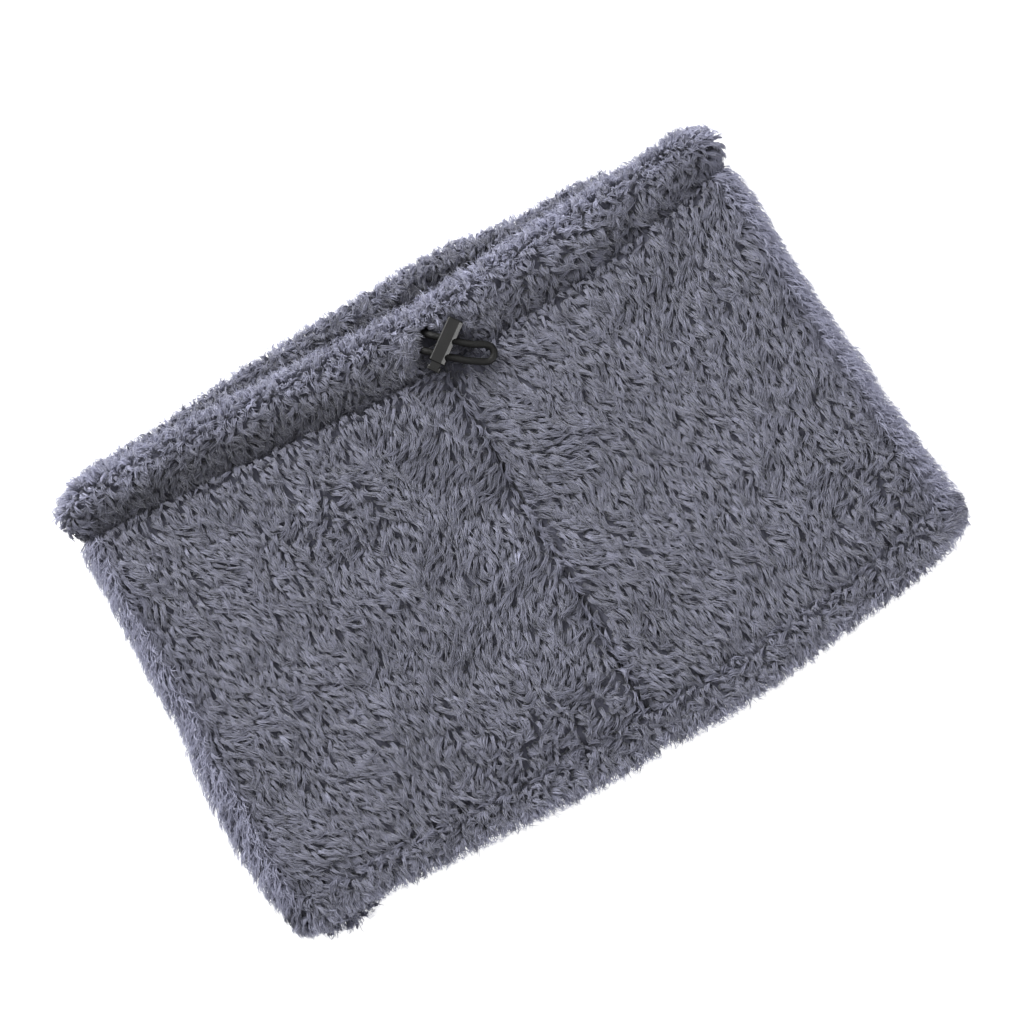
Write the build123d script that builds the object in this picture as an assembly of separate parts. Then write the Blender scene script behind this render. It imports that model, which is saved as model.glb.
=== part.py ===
from build123d import *
import math
import os

# A fleece neck gaiter: a tube of boa fleece whose top edge is folded over into a casing
# for an elastic drawcord, with a spring-loaded cord lock on the cord's loop.
# It lies flat on its back. X is the width, +Y runs up to the casing, and Z is up from
# the surface that it lies on. The origin is the middle of the underside.
# Lengths are in millimetres.

# Fleece tube
THICKNESS = 28.0            # two walls and the hollow between them
WALL = 8.0                  # knitted ground and pressed pile
TOP_Y, TOP_HALF_WIDTH = 88.0, 128.5
BOTTOM_Y, BOTTOM_HALF_WIDTH = -78.0, 136.5
REACH = 110.0               # the uncut tube runs this far up and down
MARGIN = 10.0               # shapes that cut the walls run this far past them
MID_Z = THICKNESS / 2

# Edges and lines of stitching, from left to right. Front and back meet in the side folds.
FRONT_TOP = [
    (-150, 91.0), (-128, 89.5), (-60, 84.5), (8, 79.5), (70, 81.5), (128, 84.5), (150, 86.0),
]
BACK_TOP = [
    (-150, 88.0), (-128, 89.5), (-60, 92.0), (0, 92.4), (60, 89.0), (128, 84.5), (150, 82.0),
]
FRONT_STITCH = [
    (-150, 74.0), (-128, 73.0), (-60, 67.0), (8, 60.0), (70, 61.5), (128, 68.0), (150, 71.0),
]
BACK_STITCH = [
    (-150, 72.0), (-128, 73.0), (-60, 74.0), (0, 74.0), (60, 71.5), (128, 68.0), (150, 66.0),
]
FRONT_HEM = [
    (-150, -72.0), (-135, -73.0), (-60, -78.0), (10, -81.0), (80, -79.0), (135, -72.0), (150, -69.0),
]
BACK_HEM = [
    (-150, -71.0), (-135, -73.0), (-60, -77.0), (10, -78.0), (80, -77.0), (135, -72.0), (150, -70.0),
]
FRONT_BOTTOM = [
    (-150, -79.0), (-135, -82.0), (-100, -84.5), (-50, -89.5),
    (10, -92.4), (80, -90.5), (135, -82.5), (150, -79.0),
]
BACK_BOTTOM = [
    (-150, -77.0), (-135, -82.0), (-118, -87.0), (-90, -86.0),
    (10, -89.0), (80, -88.0), (135, -82.5), (150, -80.0),
]

# Line of the front seam, from the top edge down to the bottom edge. It is sewn between the
# two rows of stitching, and the panel's edges are turned in behind it.
SEAM_TOP = (9.5, 79.5)
SEAM_BOTTOM = (7.5, -92.4)
ALLOWANCE_WIDTH = 8.0
ALLOWANCE_THICKNESS = 2.0
ALLOWANCE_GAP = 0.05        # between each turned-in edge and the seam's line

# Thread, laid in grooves in the pile
THREAD_WIDTH = 0.9
THREAD_DEPTH = 0.8

# Channel for the cord, inside the casing's wall
CHANNEL_OUTER_DEPTH = 2.4
CHANNEL_INNER_DEPTH = 6.0
CHANNEL_ABOVE_STITCH = 3.0
CHANNEL_BELOW_TOP = 4.0

# Opening in the casing's front, at the seam, where the cord comes out
OPENING_X = (3.4, 12.4)
OPENING_Y = (65.0, 73.2)
TACK_LENGTH = 5.0
TACK_WIDTH = 1.2
TACK_GAP = 0.4              # between each tack and the opening

# Cord lock: U runs along the barrel towards its closed end, the cord crosses it
CORD_DIAMETER = 2.6
LOCK_CENTRE = (15.1, 64.7)
LOCK_ANGLE = 34.1           # of U, from +X
CORD_ANGLE = -45.0          # of the cord's legs through the lock, from +X
LOCK_LENGTH = 16.4
LOCK_WIDTH = 5.6
LOCK_DEPTH = 6.6
LOCK_EDGE_RADIUS = 1.3      # of the barrel's two lower long edges and the button's four
LOCK_BEVEL_WIDTH, LOCK_BEVEL_DROP = 1.2, 0.7  # of the strip along its top, on the loop's side
LOCK_TOP_RADIUS = 0.7       # of its other upper edge
LOCK_END_RADIUS = 0.6
LOCK_MOUTH_RADIUS = 0.35
LOCK_CLEAR = 0.3            # above the fleece
HOLE_U = (0.7, -5.2)        # centres of the two cord holes along the barrel
HOLE_LENGTH = 4.0           # longer than the cord's width, because the legs cross at a slant
HOLE_HEIGHT = 3.2
MOUTH_LENGTH, MOUTH_DEPTH = 4.8, 1.0
MOUTH_HEIGHTS = (6.3, 5.0)  # on the loop's side and on the casing's
CAVITY_WIDTH, CAVITY_DEPTH = 3.8, 4.8
CAVITY_END_WALL = 1.0
PLUNGER_WIDTH, PLUNGER_DEPTH = 3.5, 4.5
PLUNGER_TIP_U = 3.8
PLUNGER_TRAVEL = 1.4
PLUNGER_GAP = 1.6           # between the barrel's open end and the button
BUTTON_LENGTH = 1.6
BUTTON_WIDTH, BUTTON_DEPTH = 5.2, 6.2
BUTTON_END_RADIUS = 0.3
BUTTON_GROOVE = (0.65, 1.05)  # from the button's inner face to the groove round it
BUTTON_GROOVE_DEPTH = 0.45
PLUNGER_SLOT = (-3.16, 1.74)  # from each hole's centre, with the cord pinched at its upper end
PLUNGER_SLOT_HEIGHT = 3.0
SPRING_WIRE = 0.4
SPRING_DIAMETER = 3.2
SPRING_TURNS = 3.5
LOCK_Z = THICKNESS + LOCK_CLEAR + LOCK_DEPTH / 2

# Elastic cord
ARC_SHARE = 0.45            # of the shorter of its two runs that each arc takes up
LEG_BEFORE = 4.6            # each leg runs straight this far before its hole in the lock
LEG_AFTER = 8.1             # and this far past it
CHANNEL_DEPTH = (CHANNEL_OUTER_DEPTH + CHANNEL_INNER_DEPTH) / 2
CORD_Z = THICKNESS - CHANNEL_DEPTH
CORD_FOLD = MID_Z - CHANNEL_DEPTH
BACK_CORD_Z = CHANNEL_DEPTH
CORD_END_Y = 82.7           # the two ends lie one above and one below this line
CORD_END_OVERLAP = 5.0      # each end runs this far past the middle of the back
CORD_END_SPACING = 1.5
ANCHOR_SIZE = (3.0, 6.2, 3.2)


def half_width(y):
    slope = (TOP_HALF_WIDTH - BOTTOM_HALF_WIDTH) / (TOP_Y - BOTTOM_Y)
    return BOTTOM_HALF_WIDTH + slope * (y - BOTTOM_Y)


def tube(depth):
    """The whole flattened tube, as solid, its surface set in by depth."""
    sections = []
    for y in (-REACH, REACH):
        plane = Plane(origin=(0, y, MID_Z), x_dir=(1, 0, 0), z_dir=(0, -1, 0))
        outline = SlotOverall(2 * (half_width(y) - depth), THICKNESS - 2 * depth)
        sections.append(plane * outline)
    return loft(sections, ruled=True)


def shifted(points, dy):
    return [(x, y + dy) for x, y in points]


def prism(lower, upper, z0, z1):
    """The space between two lines that run from left to right, from z0 up to z1."""
    outline = [
        Spline(*lower),
        Line(lower[-1], upper[-1]),
        Spline(*reversed(upper)),
        Line(upper[0], lower[0]),
    ]
    return Pos(0, 0, z0) * extrude(make_face(outline), z1 - z0)


def band(front, back):
    """The space between two pairs of lines, one for the front wall and one for the back."""
    upper_half = prism(*front, MID_Z, THICKNESS + MARGIN)
    lower_half = prism(*back, -MARGIN, MID_Z)
    return upper_half + lower_half


def stitch_band(front, back):
    half = THREAD_WIDTH / 2
    return band(
        (shifted(front, -half), shifted(front, half)),
        (shifted(back, -half), shifted(back, half)),
    )


def seam_strip(left, right, z0, z1):
    """A strip along the front seam, from left to right of its line."""
    corners = [
        (SEAM_BOTTOM[0] + left, SEAM_BOTTOM[1]),
        (SEAM_BOTTOM[0] + right, SEAM_BOTTOM[1]),
        (SEAM_TOP[0] + right, SEAM_TOP[1]),
        (SEAM_TOP[0] + left, SEAM_TOP[1]),
    ]
    return Pos(0, 0, z0) * extrude(make_face(Polyline(*corners, close=True)), z1 - z0)


def box(x, y, z):
    size = (x[1] - x[0], y[1] - y[0], z[1] - z[0])
    return Pos(x[0], y[0], z[0]) * Box(*size, align=(Align.MIN, Align.MIN, Align.MIN))


def on_lock(u, v=0.0, w=0.0):
    """A place on the cord lock: u along the barrel, v across it, w up."""
    angle = math.radians(LOCK_ANGLE)
    x = LOCK_CENTRE[0] + u * math.cos(angle) + v * math.sin(angle)
    y = LOCK_CENTRE[1] + u * math.sin(angle) - v * math.cos(angle)
    return (x, y, LOCK_Z + w)


def lock_frame():
    angle = math.radians(LOCK_ANGLE)
    along = (math.cos(angle), math.sin(angle), 0)
    return Plane(origin=on_lock(0), x_dir=along, z_dir=(0, 0, 1))


def on_leg(hole, distance):
    """A place on one of the cord's straight legs, counted from its hole's centre."""
    angle = math.radians(CORD_ANGLE)
    x, y, z = on_lock(HOLE_U[hole])
    return (x + distance * math.cos(angle), y + distance * math.sin(angle), z)


def cord_tube(name, points):
    """A round cord along straight runs joined by tangent arcs."""
    vectors = [Vector(*p) for p in points]
    radii = []
    for before, here, after in zip(vectors, vectors[1:], vectors[2:]):
        turn = math.radians((here - before).get_angle(after - here))
        shorter = min((here - before).length, (after - here).length)
        radii.append(ARC_SHARE * shorter / math.tan(turn / 2))
    path = FilletPolyline(*vectors, radius=radii)
    section = Plane(origin=path @ 0, z_dir=path % 0) * Circle(CORD_DIAMETER / 2)
    solid = sweep(section, path)
    share = solid.volume / (math.pi * CORD_DIAMETER**2 / 4 * path.length)
    print(name, "length", round(path.length, 1), "radii", [round(r, 1) for r in radii])
    print(name, "volume over section times length", round(share, 4))
    return solid


# The cord's loop outside the casing: down out of one side of the opening, through the
# lock, round the loop's end and back through the lock into the opening.
LOOP_ROUTE = [
    (10.3, 70.6, 27.5),
    (10.9, 69.9, 30.2),
    on_leg(0, -LEG_BEFORE),
    on_leg(0, LEG_AFTER),
    (24.4, 57.7, 31.0),
    (27.0, 55.9, 30.3),
    (27.5, 53.5, 29.9),
    (26.2, 51.4, 29.9),
    (23.8, 50.9, 30.1),
    (20.3, 53.3, 30.9),
    on_leg(1, LEG_AFTER),
    on_leg(1, -LEG_BEFORE),
    (6.2, 66.6, 30.2),
    (5.7, 67.3, 27.5),
]


def onward(before, here, distance):
    """The place that lies distance past here, straight on from before."""
    return tuple(h + (h - b) * distance / math.dist(before, here) for b, h in zip(before, here))


def side_fold(side, y):
    """Four points round a side fold, from the front wall to the back: side -1 left, 1 right."""
    reach = CORD_FOLD / math.cos(math.pi / 8)
    centre = half_width(y) - MID_Z
    points = []
    for eighths in (3, 1, -1, -3):
        angle = math.radians(eighths * 22.5)
        points.append((side * (centre + reach * math.cos(angle)), y, MID_Z + reach * math.sin(angle)))
    return points


# The cord inside the casing, from the opening round each side to the middle of the back.
LEFT_ROUTE = [
    LOOP_ROUTE[-1],
    onward(LOOP_ROUTE[-2], LOOP_ROUTE[-1], 1.7),
    (4.4, 68.2, 24.4),
    (2.2, 68.7, 23.85),
    (-3.0, 69.7, CORD_Z),
    (-13.0, 70.9, CORD_Z),
    (-33.0, 72.9, CORD_Z),
    (-68.0, 75.8, CORD_Z),
    (-98.0, 79.0, CORD_Z),
    *side_fold(-1, 81.0),
    (-98.0, 81.9, BACK_CORD_Z),
    (-55.0, 82.9, BACK_CORD_Z),
    (-20.0, 83.4, BACK_CORD_Z),
    (CORD_END_OVERLAP, CORD_END_Y + CORD_END_SPACING, BACK_CORD_Z),
]

RIGHT_ROUTE = [
    LOOP_ROUTE[0],
    onward(LOOP_ROUTE[1], LOOP_ROUTE[0], 1.6),
    (10.6, 71.2, 24.5),
    (12.0, 71.3, 23.85),
    (16.0, 71.2, CORD_Z),
    (25.0, 71.1, CORD_Z),
    (43.0, 71.5, CORD_Z),
    (75.0, 72.6, CORD_Z),
    (99.0, 74.6, CORD_Z),
    *side_fold(1, 76.0),
    (99.0, 77.2, BACK_CORD_Z),
    (55.0, 79.9, BACK_CORD_Z),
    (20.0, 81.0, BACK_CORD_Z),
    (-CORD_END_OVERLAP, CORD_END_Y - CORD_END_SPACING, BACK_CORD_Z),
]


def fleece_wall():
    return tube(0) - tube(WALL)


def stitch_threads(skin):
    """The casing's and the hem's rows of stitching, each right round the tube."""
    casing_thread = skin & stitch_band(FRONT_STITCH, BACK_STITCH)
    hem_thread = skin & stitch_band(FRONT_HEM, BACK_HEM)
    return casing_thread, hem_thread


def seam_thread(body_space):
    half = THREAD_WIDTH / 2
    strip = seam_strip(-half, half, THICKNESS - THREAD_DEPTH, THICKNESS)
    return strip & body_space


def seam_allowance(side, body_space):
    """One of the panel's two side edges, turned in behind the seam: side -1 left, 1 right."""
    inner = THICKNESS - WALL
    left, right = sorted((ALLOWANCE_GAP * side, ALLOWANCE_WIDTH * side))
    return seam_strip(left, right, inner - ALLOWANCE_THICKNESS, inner) & body_space


def opening_tacks():
    """Bar tacks at the upper and lower end of the cord's opening."""
    middle = sum(OPENING_X) / 2
    x = (middle - TACK_LENGTH / 2, middle + TACK_LENGTH / 2)
    z = (THICKNESS - THREAD_DEPTH, THICKNESS)
    upper_start = OPENING_Y[1] + TACK_GAP
    lower_end = OPENING_Y[0] - TACK_GAP
    upper = box(x, (upper_start, upper_start + TACK_WIDTH), z)
    lower = box(x, (lower_end - TACK_WIDTH, lower_end), z)
    return upper, lower


def cord_channel():
    ring = tube(CHANNEL_OUTER_DEPTH) - tube(CHANNEL_INNER_DEPTH)
    front = (shifted(FRONT_STITCH, CHANNEL_ABOVE_STITCH), shifted(FRONT_TOP, -CHANNEL_BELOW_TOP))
    back = (shifted(BACK_STITCH, CHANNEL_ABOVE_STITCH), shifted(BACK_TOP, -CHANNEL_BELOW_TOP))
    return ring & band(front, back)


def casing(wall, threads, tacks):
    solid = wall & band((FRONT_STITCH, FRONT_TOP), (BACK_STITCH, BACK_TOP))
    solid -= cord_channel()
    solid -= box(OPENING_X, OPENING_Y, (CORD_Z, THICKNESS + MARGIN))
    for piece in (*threads, *tacks):
        solid -= piece
    return solid


def cord_anchor_tack(cords):
    """A block of thread that holds the cord's two ends side by side in the channel."""
    block = Pos(0, CORD_END_Y, BACK_CORD_Z) * Box(*ANCHOR_SIZE)
    for cord in cords:
        block -= cord
    return block


def lock_block(u, width, depth):
    """A block along the barrel, from u[0] to u[1], centred on it."""
    length = u[1] - u[0]
    return Pos((u[0] + u[1]) / 2, 0, 0) * Box(length, width, depth)


def lock_housing():
    half = LOCK_LENGTH / 2
    barrel = lock_block((-half, half), LOCK_WIDTH, LOCK_DEPTH)
    barrel = fillet(barrel.edges().filter_by(Axis.X).group_by(Axis.Z)[0], LOCK_EDGE_RADIUS)
    casing_edge = barrel.edges().filter_by(Axis.X).group_by(Axis.Z)[-1].sort_by(Axis.Y)[-1]
    barrel = fillet(casing_edge, LOCK_TOP_RADIUS)
    top_face = barrel.faces().sort_by(Axis.Z)[-1]
    loop_edge = top_face.edges().filter_by(Axis.X).sort_by(Axis.Y)[0]
    barrel = chamfer(loop_edge, LOCK_BEVEL_WIDTH, LOCK_BEVEL_DROP, reference=top_face)
    barrel = fillet(barrel.faces().sort_by(Axis.X)[-1].edges(), LOCK_END_RADIUS)
    barrel = fillet(barrel.faces().sort_by(Axis.X)[0].edges(), LOCK_MOUTH_RADIUS)
    barrel -= lock_block((-half - MARGIN, half - CAVITY_END_WALL), CAVITY_WIDTH, CAVITY_DEPTH)
    for u in HOLE_U:
        hole = Rot(X=90) * SlotOverall(HOLE_LENGTH, HOLE_HEIGHT)
        barrel -= Pos(u, 0, 0) * extrude(hole, LOCK_WIDTH, both=True)
        for side, height in zip((-1, 1), MOUTH_HEIGHTS):
            mouth = Rot(X=90) * Ellipse(MOUTH_LENGTH / 2, height / 2)
            flare = extrude(mouth, MOUTH_DEPTH, both=True)
            barrel -= Pos(u, side * LOCK_WIDTH / 2, 0) * flare
    return lock_frame() * barrel


def lock_plunger():
    open_end = -LOCK_LENGTH / 2
    neck_end = open_end - PLUNGER_GAP
    stem = lock_block((neck_end, PLUNGER_TIP_U), PLUNGER_WIDTH, PLUNGER_DEPTH)
    for u in HOLE_U:
        slot = lock_block((u + PLUNGER_SLOT[0], u + PLUNGER_SLOT[1]), LOCK_WIDTH, PLUNGER_SLOT_HEIGHT)
        stem -= slot
    button = lock_block((neck_end - BUTTON_LENGTH, neck_end), BUTTON_WIDTH, BUTTON_DEPTH)
    button = fillet(button.edges().filter_by(Axis.X), LOCK_EDGE_RADIUS)
    button = fillet(button.faces().sort_by(Axis.X)[0].edges(), BUTTON_END_RADIUS)
    groove = (neck_end - BUTTON_GROOVE[1], neck_end - BUTTON_GROOVE[0])
    core_width = BUTTON_WIDTH - 2 * BUTTON_GROOVE_DEPTH
    core_depth = BUTTON_DEPTH - 2 * BUTTON_GROOVE_DEPTH
    core = lock_block(groove, core_width, core_depth)
    button -= lock_block(groove, BUTTON_WIDTH + MARGIN, BUTTON_DEPTH + MARGIN) - core
    return lock_frame() * (stem + button)


def lock_spring():
    start = PLUNGER_TIP_U
    end = LOCK_LENGTH / 2 - CAVITY_END_WALL
    radius = (SPRING_DIAMETER - SPRING_WIRE) / 2
    height = end - start - SPRING_WIRE
    path = Helix(pitch=height / SPRING_TURNS, height=height, radius=radius)
    section = Plane(origin=path @ 0, z_dir=path % 0) * Circle(SPRING_WIRE / 2)
    wire = sweep(section, path, is_frenet=True)
    return lock_frame() * Pos(start + SPRING_WIRE / 2, 0, 0) * Rot(Y=90) * wire


def build():
    wall = fleece_wall()
    skin = tube(0) - tube(THREAD_DEPTH)
    body_space = band((FRONT_HEM, FRONT_STITCH), (BACK_HEM, BACK_STITCH))
    casing_thread, hem_thread = stitch_threads(skin)
    body_space = body_space - casing_thread - hem_thread
    front_thread = seam_thread(body_space)
    tacks = opening_tacks()
    loop = cord_tube("drawcord_loop", LOOP_ROUTE)
    left = cord_tube("drawcord_left", LEFT_ROUTE)
    right = cord_tube("drawcord_right", RIGHT_ROUTE)
    hem_space = band((FRONT_BOTTOM, FRONT_HEM), (BACK_BOTTOM, BACK_HEM))
    return {
        "fleece_body": (wall & body_space) - front_thread,
        "drawcord_casing": casing(wall, [casing_thread], tacks),
        "bottom_hem": (wall & hem_space) - hem_thread,
        "seam_allowance_left": seam_allowance(-1, body_space),
        "seam_allowance_right": seam_allowance(1, body_space),
        "front_seam_thread": front_thread,
        "casing_thread": casing_thread,
        "hem_thread": hem_thread,
        "opening_tack_upper": tacks[0],
        "opening_tack_lower": tacks[1],
        "drawcord_left": left,
        "drawcord_right": right,
        "drawcord_loop": loop,
        "cord_anchor_tack": cord_anchor_tack([left, right]),
        "lock_housing": lock_housing(),
        "lock_plunger": lock_plunger(),
        "lock_spring": lock_spring(),
    }


def main():
    os.makedirs("parts", exist_ok=True)
    for name, shape in build().items():
        export_step(shape, f"parts/{name}.step")


main()
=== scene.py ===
import math

import bpy
import numpy as np
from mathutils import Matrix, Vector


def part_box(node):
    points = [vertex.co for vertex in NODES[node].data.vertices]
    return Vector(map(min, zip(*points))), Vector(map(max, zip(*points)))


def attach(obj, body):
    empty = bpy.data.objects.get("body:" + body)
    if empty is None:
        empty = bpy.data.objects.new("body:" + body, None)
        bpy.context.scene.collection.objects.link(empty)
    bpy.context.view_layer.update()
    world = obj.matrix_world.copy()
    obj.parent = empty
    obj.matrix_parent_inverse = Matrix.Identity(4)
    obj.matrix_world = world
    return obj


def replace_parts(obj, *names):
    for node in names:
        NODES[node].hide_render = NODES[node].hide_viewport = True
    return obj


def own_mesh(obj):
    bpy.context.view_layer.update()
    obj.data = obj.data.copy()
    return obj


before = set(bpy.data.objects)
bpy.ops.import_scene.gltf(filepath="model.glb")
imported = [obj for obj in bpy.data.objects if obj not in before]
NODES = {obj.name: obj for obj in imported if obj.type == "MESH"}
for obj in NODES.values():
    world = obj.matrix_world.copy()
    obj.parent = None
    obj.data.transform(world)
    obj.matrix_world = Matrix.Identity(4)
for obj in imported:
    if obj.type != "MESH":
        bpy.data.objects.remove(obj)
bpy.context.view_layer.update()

# The looks of a boa-fleece neck gaiter that lies flat on its back. X is its width, +Y runs
# up to the drawcord casing and Z is up. Shapes are in millimetres, and turn into metres where
# a mesh or curve is made. The camera and the lights are in metres.
MM = 0.001
BODY = "gaiter"

# Fleece tube
THICKNESS = 28.0
MID = THICKNESS / 2
FOLD_LENGTH = math.pi * MID
TOP_Y, TOP_HALF_WIDTH = 88.0, 128.5
BOTTOM_Y, BOTTOM_HALF_WIDTH = -78.0, 136.5

# Edges of the knitted ground and rows of stitching, from left to right: the front wall's
# and the back wall's. The pile stands a few millimetres past the edges.
FRONT_TOP = [
    (-150, 82.0), (-131, 83.0), (-121, 87.2), (-107, 86.2), (-86, 85.0), (-59, 83.1), (-31, 81.2),
    (8, 78.4), (45, 78.8), (72, 80.2), (100, 80.2), (114, 81.0), (124, 81.0), (131, 78.5), (150, 77.0),
]
BACK_TOP = [
    (-150, 82.0), (-131, 83.0), (-115, 88.2), (-90, 88.3), (-60, 89.8), (-30, 90.8), (0, 90.6),
    (30, 90.2), (60, 85.4), (85, 84.3), (100, 79.8), (114, 80.8), (131, 78.5), (150, 77.0),
]
FRONT_STITCH = [
    (-150, 74.0), (-128, 73.0), (-60, 67.0), (8, 60.0), (70, 61.5), (128, 68.0), (150, 71.0),
]
BACK_STITCH = [
    (-150, 72.0), (-128, 73.0), (-60, 74.0), (0, 74.0), (60, 71.5), (128, 68.0), (150, 66.0),
]
FRONT_HEM = [
    (-150, -72.0), (-135, -73.0), (-60, -78.0), (10, -81.0), (80, -79.0), (135, -72.0), (150, -69.0),
]
BACK_HEM = [
    (-150, -71.0), (-135, -73.0), (-60, -77.0), (10, -78.0), (80, -77.0), (135, -72.0), (150, -70.0),
]
FRONT_BOTTOM = [
    (-150, -78.0), (-135, -81.0), (-106, -82.2), (-79, -84.9), (-50, -87.6), (-25, -89.8),
    (10, -91.3), (40, -92.0), (80, -88.6), (120, -84.4), (135, -80.5), (150, -78.0),
]
BACK_BOTTOM = [
    (-150, -78.0), (-135, -82.0), (-124, -87.0), (-116, -87.6), (-104, -82.6),
    (10, -87.0), (80, -85.5), (120, -83.0), (135, -80.0), (150, -78.0),
]
SEAM_TOP = (9.5, 79.5)
SEAM_BOTTOM = (7.5, -92.4)
SEAM_LENGTH = 141.0         # between the two rows of stitching
PANEL_HEIGHT = 145.0
HEM_Y, STITCH_Y, RIM_Y, BOTTOM_EDGE_Y = -75.0, 70.0, 85.0, -88.0  # where they usually are

# Knitted ground under the pile
BODY_DEPTH = 3.7            # of its outer face below the pressed pile's surface
CLOTH = 1.5                 # the ground's thickness
PINCH = 2.6                 # how much deeper it is drawn by a row of stitching
PINCH_REACH = 4.0
SEAM_PINCH = 1.9
SEAM_REACH = 1.6
SEAM_GAP = 0.25             # from the seam's line to the panel's edge on each side
CASING_DEPTH = 1.2
CASING_ROUND = 9.0          # how far above its stitching the casing reaches its full swell
CASING_INNER_DEPTH = 7.2
HEM_DEPTH = 2.9
HEM_INNER_DEPTH = 6.9
HEM_ROUND = 4.0
NOTCH_REACH = 3.0           # of the seam's notch in the casing's and the hem's edges

# Opening in the casing's front where the cord comes out
OPENING_X = (4.2, 11.8)
OPENING_Y = (65.4, 72.8)

# Cord and cord lock
CORD_DIAMETER = 2.6
LOCK_CENTRE = (15.1, 64.7, 31.6)
LOCK_AXIS = (0.82805870, 0.56063855, 0.0)
LOCK_SLIDE = (-1.0, 4.0)    # its way along the cord's legs
LOCK_ENDS = (-10.0, 7.5)    # of what presses the pile, from the lock's centre along its axis
LOCK_HALF_WIDTH = 3.5
PRESS_FADE = 2.5            # over which the pressed pile rises again
SPRING_WIRE = 0.4
SPRING_DIAMETER = 3.2
SPRING_COILS = 4.5
SPRING_LENGTH = 3.4
BRAID_STRANDS, BRAID_PITCH = 8, 1.5

# The cord's loop, from the opening through the lock and back: the points of its solid's route
LOOP_ROUTE = [
    (10.3, 70.6, 27.5), (10.9, 69.9, 30.2), (12.43, 68.34, 31.6),
    (21.41, 59.36, 31.6), (24.4, 57.7, 31.0), (27.0, 55.9, 30.3),
    (27.5, 53.5, 29.9), (26.2, 51.4, 29.9), (23.8, 50.9, 30.1),
    (20.3, 53.3, 30.9), (16.52, 56.05, 31.6), (7.54, 65.03, 31.6),
    (6.2, 66.6, 30.2), (5.7, 67.3, 27.5),
]


# ---- camera, light and floor

CAMERA_DISTANCE = 1.7
CAMERA_FIELD = 0.353        # width of the view at the fleece's upper face
CAMERA_TURN = -31.5         # degrees, so that the gaiter lies askew in the view
CAMERA_AIM = (0.0036, 0.0027)
FLOOR_REACH = 4000.0


def add_camera():
    data = bpy.data.cameras.new("camera")
    data.sensor_width = 36.0
    data.lens = data.sensor_width * CAMERA_DISTANCE / CAMERA_FIELD
    camera = bpy.data.objects.new("camera", data)
    camera.location = (*CAMERA_AIM, THICKNESS * MM + CAMERA_DISTANCE)
    camera.rotation_euler = (0.0, 0.0, math.radians(CAMERA_TURN))
    bpy.context.scene.collection.objects.link(camera)
    bpy.context.scene.camera = camera


def add_area_light(name, place, size, power):
    data = bpy.data.lights.new(name, "AREA")
    data.size = size
    data.energy = power
    light = bpy.data.objects.new(name, data)
    light.location = place
    direction = -light.location.normalized()
    light.rotation_euler = direction.to_track_quat("-Z", "Y").to_euler()
    bpy.context.scene.collection.objects.link(light)


def add_world(strength):
    world = bpy.data.worlds.new("studio")
    world.use_nodes = True
    background = world.node_tree.nodes["Background"]
    background.inputs["Color"].default_value = (1.0, 1.0, 1.0, 1.0)
    background.inputs["Strength"].default_value = strength
    bpy.context.scene.world = world


def add_light():
    add_world(0.36)
    add_area_light("key", (-0.3, 1.5, 0.85), 1.4, 50.0)
    add_area_light("fill", (0.1, 0.2, 1.95), 1.4, 7.0)
    add_area_light("side", (0.75, -1.1, 0.75), 0.5, 10.5)
    bpy.context.scene.view_settings.view_transform = "Standard"


# ---- cord


def link_object(name, data):
    piece = bpy.data.objects.new(name, data)
    bpy.context.scene.collection.objects.link(piece)
    return piece


def add_piece(name, mesh, material, body=BODY):
    """A mesh of one material in the scene, riding on a body."""
    mesh.materials.append(material)
    piece = link_object(name, mesh)
    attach(piece, body)
    return piece


def cad_corners(node):
    """The low and high corners of a CAD node, in millimetres."""
    low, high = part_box(node)
    return np.array(low) / MM, np.array(high) / MM


def cord_line(route):
    """Points along the smooth spline that the route's points control, in millimetres."""
    curve = bpy.data.curves.new("route", "CURVE")
    curve.dimensions = "3D"
    curve.resolution_u = 16
    spline = curve.splines.new("NURBS")
    spline.points.add(len(route) - 1)
    for point, place in zip(spline.points, route):
        point.co = (*[value * MM for value in place], 1.0)
    spline.order_u = 3
    spline.use_endpoint_u = True
    carrier = bpy.data.objects.new("route", curve)
    mesh = bpy.data.meshes.new_from_object(carrier)
    line = np.array([vertex.co for vertex in mesh.vertices]) / MM
    bpy.data.objects.remove(carrier)
    bpy.data.curves.remove(curve)
    bpy.data.meshes.remove(mesh)
    return line


def distances(line):
    """How far along a line of points each of them is."""
    return np.concatenate([[0.0], np.cumsum(np.linalg.norm(np.diff(line, axis=0), axis=1))])


def spaced(line, step):
    """Places about step apart along a line of points."""
    along = distances(line)
    at = np.linspace(0.0, along[-1], max(2, round(along[-1] / step) + 1))
    return np.stack([np.interp(at, along, line[:, k]) for k in range(3)], axis=1)


def unit(vectors):
    return vectors / np.maximum(np.linalg.norm(vectors, axis=-1, keepdims=True), 1e-9)


def carried_frames(line):
    """Two directions across a line at each of its points, carried along without twist."""
    tangents = unit(np.gradient(line, axis=0))
    start = np.cross(tangents[0], (0.3, 0.5, 0.8))
    firsts = [unit(start)]
    for tangent in tangents[1:]:
        last = firsts[-1]
        firsts.append(unit(last - tangent * np.dot(last, tangent)))
    firsts = np.array(firsts)
    return firsts, np.cross(tangents, firsts)


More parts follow.
